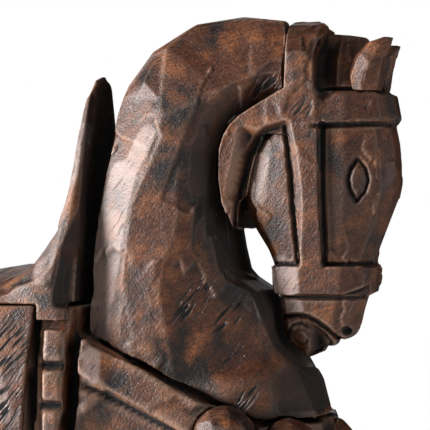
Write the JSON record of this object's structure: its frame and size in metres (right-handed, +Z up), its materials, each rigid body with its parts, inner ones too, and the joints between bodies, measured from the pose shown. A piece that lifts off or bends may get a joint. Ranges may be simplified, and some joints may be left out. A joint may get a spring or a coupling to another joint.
{
  "type": "carved wooden horse statuette",
  "caption": "Standing carved wooden war horse with bridle, high-pommelled saddle, beaded girth band and breast strap with round bells, on a rectangular plinth.",
  "frame": {"origin": "centre of the felt's underside, which rests on a table", "axes": "+Z up, +X towards the horse's nose, +Y to the horse's left"},
  "size_m": [0.3323, 0.122, 0.3998],
  "materials": {
    "carved_walnut": "hand-carved facets, dark stain rubbed back on the edges, waxed",
    "dark_plinth": "planed, dark stain, waxed",
    "dowel_beech": "plain turned",
    "felt": "green wool felt",
    "zinc_steel": "zinc plated"
  },
  "bodies": {
    "root": {"body": "carved_walnut", "neck": "carved_walnut", "head": "carved_walnut", "right_ear": "carved_walnut", "left_ear": "carved_walnut", "saddle": "carved_walnut", "right_flap": "carved_walnut", "left_flap": "carved_walnut", "tail": "carved_walnut", "fore_right_leg": "carved_walnut", "fore_left_leg": "carved_walnut", "rear_right_leg": "carved_walnut", "rear_left_leg": "carved_walnut", "breast_bell_1": "carved_walnut", "breast_bell_2": "carved_walnut", "breast_bell_3": "carved_walnut", "breast_bell_4": "carved_walnut", "breast_bell_5": "carved_walnut", "plinth": "dark_plinth", "felt_base": "felt", "fore_right_leg_dowel": "dowel_beech", "fore_left_leg_dowel": "dowel_beech", "rear_right_leg_dowel": "dowel_beech", "rear_left_leg_dowel": "dowel_beech", "neck_dowel_rear": "dowel_beech", "neck_dowel_front": "dowel_beech", "head_dowel_upper": "dowel_beech", "head_dowel_lower": "dowel_beech", "saddle_dowel_front": "dowel_beech", "saddle_dowel_rear": "dowel_beech", "tail_dowel": "dowel_beech", "right_ear_dowel": "dowel_beech", "left_ear_dowel": "dowel_beech", "fore_right_screw": "zinc_steel", "fore_left_screw": "zinc_steel", "rear_right_screw": "zinc_steel", "rear_left_screw": "zinc_steel"}
  },
  "joints": []
}
